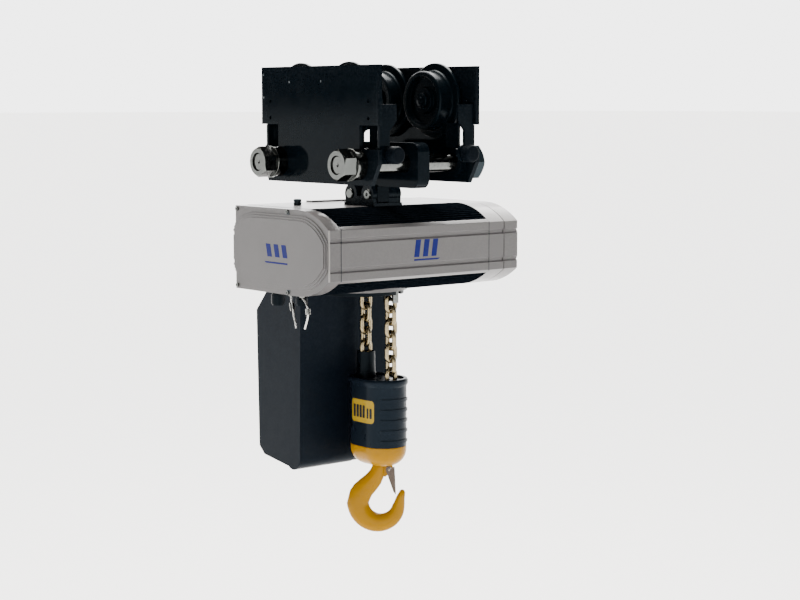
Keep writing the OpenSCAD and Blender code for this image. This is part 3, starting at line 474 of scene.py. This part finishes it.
def emblem(name, plane, start, left, right, top, bottom, bar_bottom, body, slot):
    """Generic mark: three leaning bars over one long thin bar."""
    width = (right - left) / 3
    lean = 0.22 * width
    for i in range(3):
        x0 = left + i * width
        x1 = x0 + 0.80 * width
        outline = [(x0, bottom), (x1 - lean, bottom), (x1, top), (x0 + lean, top)]
        prism("%s_mark_%d" % (name, i), outline, plane, start, MARK_DEPTH, body, slot, materials["emblem_blue"], 0.1)
    bar_top = bar_bottom + 4
    outline = [(left, bar_bottom), (right - lean, bar_bottom), (right, bar_top), (left, bar_top)]
    prism(name + "_bar", outline, plane, start, MARK_DEPTH, body, slot, materials["emblem_blue"], 0.1)


def wrapped_patch(name, inner, outer, low, high, s0, s1, slot, material, body, corner=0.0, steps=40):
    """Patch of a label on the block: s runs in mm round the oblong from its rear left tangent point."""
    centre_x, centre_y, span, radius = 20.0, -12.0, 20.0, 58.0

    def spot(s, off):
        if s < 0:
            a = -s / radius
            return (centre_x - (radius + off) * math.cos(a), centre_y + span + (radius + off) * math.sin(a))
        if s < 2 * span:
            return (centre_x - radius - off, centre_y + span - s)
        a = (s - 2 * span) / radius
        return (centre_x - (radius + off) * math.cos(a), centre_y - span - (radius + off) * math.sin(a))

    points, faces = [], []
    for i in range(steps + 1):
        s = s0 + (s1 - s0) * i / steps
        into = max(0.0, corner - min(s - s0, s1 - s))
        cut = corner - math.sqrt(max(0.0, corner * corner - into * into))
        for off, z in ((inner, low + cut), (outer, low + cut), (outer, high - cut), (inner, high - cut)):
            x, y = spot(s, off)
            points.append((x * MM, y * MM, z * MM))
    for i in range(steps):
        for j in range(4):
            a, b = i * 4 + j, i * 4 + (j + 1) % 4
            faces.append((a, b, b + 4, a + 4))
    faces += [(0, 1, 2, 3), tuple(steps * 4 + j for j in (3, 2, 1, 0))]
    return solid(name, points, faces, body, slot, material, angle=40)


def tube_cord(name, route, diameter, node):
    curve = bpy.data.curves.new(name, "CURVE")
    curve.dimensions = "3D"
    curve.bevel_depth = diameter / 2
    curve.bevel_resolution = 3
    curve.use_fill_caps = True
    spline = curve.splines.new("POLY")
    spline.points.add(len(route) - 1)
    for point, spot in zip(spline.points, route):
        point.co = (*[c * MM for c in spot], 1)
    piece = bpy.data.objects.new(name, curve)
    place_piece(piece, ROOT, "relief_wire", replaces=(node,))
    return piece


# ---------------------------------------------------------------- build

make_camera()
make_world()
make_floor()
sun_light("ceiling", (-0.36, -0.50, -1.0), 12.0, 60, tone=(1.0, 0.985, 0.96))
area_light("overhead", (0.3, 0.3, 1.9), (0, 0, -0.2), (1.4, 1.4), 90, tone=(1.0, 0.93, 0.85))
area_light("front_left", (-3.3, -2.2, 0.4), (0, 0, -0.4), (1.0, 1.8), 22)
area_light("near_camera", (-2.5, -3.4, 0.9), (0, 0, -0.4), (0.5, 1.0), 26)

materials = make_materials()
node_slot = {s["node"]: s["material_slot"] for s in frame["record"]["subparts"]}
for name, node in frame["nodes"].items():
    node.data.materials.clear()
    node.data.materials.append(materials[node_slot[name]])

wire_front_route = [(-225, -25, -399), (-225, -29, -402), (-225, -35, -406), (-225, -41, -411), (-225, -46, -417),
                    (-225, -49, -425), (-225, -50, -434), (-225, -48, -445), (-225, -44, -456), (-225, -39, -467),
                    (-225, -36, -474)]
wire_rear_route = [(-225, 20, -399), (-225, 19, -408), (-225, 17, -418), (-225, 14, -428), (-225, 11, -438),
                   (-225, 8, -448), (-225, 4, -459), (-225, 1, -468), (-225, -1, -476)]
tube_cord("front_relief_wire", wire_front_route, WIRE_DIAMETER, "relief_wire_front")
tube_cord("rear_relief_wire", wire_rear_route, WIRE_DIAMETER, "relief_wire_rear")

refined_nodes = {
    "side_plate_left": 1.2, "side_plate_right": 1.2, "hanger_plate": 2.0, "bumper_brackets": 1.0,
    "bar_nuts_left": 0.8, "bar_nuts_right": 0.8, "bar_spacers": 0.8, "cross_bars": 1.0,
    "suspension_lug": 3.0, "suspension_pins": 0.6, "bumpers": 0.8,
    "wheel_front_left": 1.0, "wheel_front_right": 1.0, "wheel_rear_left": 1.0, "wheel_rear_right": 1.0,
    "end_cover_left": 2.0, "end_cover_right": 2.0, "front_profile": 0.8,
    "rear_housing": 1.0, "chain_guide": 0.8, "guide_plate": 1.0, "top_plug": 0.8, "cover_screws": 0.4,
    "block_half_left": 1.2, "block_half_right": 1.2, "block_cup": 1.5, "chain_sleeve": 0.8,
    "latch": 0.5, "chain_bucket": 3.0, "dead_end_anchor": 0.6, "cable_sockets": 0.8}
for name, width in refined_nodes.items():
    refine(name, width)

for name in ("ribbed_shell_top", "ribbed_shell_bottom"):
    refine(name, 0.4, angle=40)
for name in ("chain_load_fall", "chain_dead_fall", "chain_slack", "chain_loop"):
    refine(name, 0.05, segments=1, angle=60)
refine("hook", 0.3, segments=1, angle=60)
refine("sheave_axle", 0.5)
end_frame = refine("end_frame_right", 0.15, segments=1)
end_frame.data.materials[0] = materials["frame_grey"]

hub_profile = [(19.0, 91.6), (19.0, 88.0), (17.0, 86.2), (14.6, 86.0), (14.2, 84.6), (9.0, 83.8), (8.4, 82.6),
               (3.0, 82.0), (0.4, 82.0), (0.4, 83.4), (8.0, 83.6), (15.6, 87.4), (15.6, 91.6)]
for side, row, place in ((-1, -1, "front_left"), (1, -1, "front_right"), (-1, 1, "rear_left"), (1, 1, "rear_right")):
    turned("hub_cap_" + place, hub_profile, (0, row * 97, 72), (side, 0, 0), ROOT, "wheel_steel")

for piece in bpy.data.objects:
    if piece.name.startswith("cover_screws_"):
        piece.data.materials[0] = materials["zinc_steel"]
for name, height in (("upper", 1), ("lower", -1)):
    corners = [(5.4, 92), (-6.6, 100), (-10.5, 86)]
    prism("cover_catch_" + name, [(y, -290 + height * z) for y, z in corners], "x", -249.4, 2.0, ROOT, "cover_grey",
          materials["black_screw"], 0.5)

# painted shade in the seams, a painted highlight strip on the cover's front corner, punch marks and the latch spring
# painted shade: thin near-black strips stand in for the shadow in the seam grooves at both ends of the front profile
for name, x, depth in (("left", -212.0, 0.5), ("right", 254.0, 0.4)):
    prism("painted_seam_shade_" + name, rounded(x - 0.8, -352, x + 0.8, -228, 0.7, 3), "y", -164.2, depth, ROOT, "profile_grey",
          materials["ink_and_painted_seam_shade"])
# painted highlight: a light grey strip along the cover's front left corner stands in for the bright glint on that edge
prism("painted_highlight_strip", [(-248.3, -164.3), (-245.0, -164.3), (-244.4, -163.4), (-247.2, -161.2), (-248.3, -161.6)],
      "z", -351, 122, ROOT, "cover_grey", materials["painted_highlight_grey"], 0.4)
for i, (y, z) in enumerate(((226, 137), (226, 80), (116, 117), (-13, 118))):
    turned("plate_mark_%d" % i, [(0.3, 0.0), (2.6, 0.0), (2.2, 0.4), (0.3, 0.5)], (-157, y, z), (-1, 0, 0), ROOT,
           "trolley_black", materials["dark_nut"], 20)
for i in range(3):
    ring = [(6.6 + 1.1 * math.cos(math.radians(45 * k)), -3.2 + 3.2 * i + 1.1 * math.sin(math.radians(45 * k)))
            for k in range(8)]
    turned("latch_spring_%d" % i, ring, (40.98, -28.99, -852), (0.62932, 0.777146, 0), HOOK, "latch_steel",
           count=32, angle=60)

emblem("front_emblem", "y", -164.5, 10, 92, -263, -305, -314, ROOT, "profile_grey")
emblem("side_emblem", "x", -256.0, -9, 87, -273, -304, -320, ROOT, "cover_grey")

wrapped_patch("label_border", 0.05, 0.35, -727, -666, -16, 70, "block_grey", materials["ink_and_painted_seam_shade"], BLOCK, corner=10)
wrapped_patch("load_label", 0.3, 0.55, -725, -668, -14, 68, "block_grey", materials["label_yellow"], BLOCK, corner=8.5)
for i, (s0, width) in enumerate(((-6, 9), (6, 9), (18, 9), (30, 9), (46, 6), (55, 7))):
    wrapped_patch("label_block_%d" % i, 0.5, 0.72, -713, -681 if i < 4 else -687, s0, s0 + width, "block_grey",
                  materials["ink_and_painted_seam_shade"], BLOCK, corner=2, steps=8)
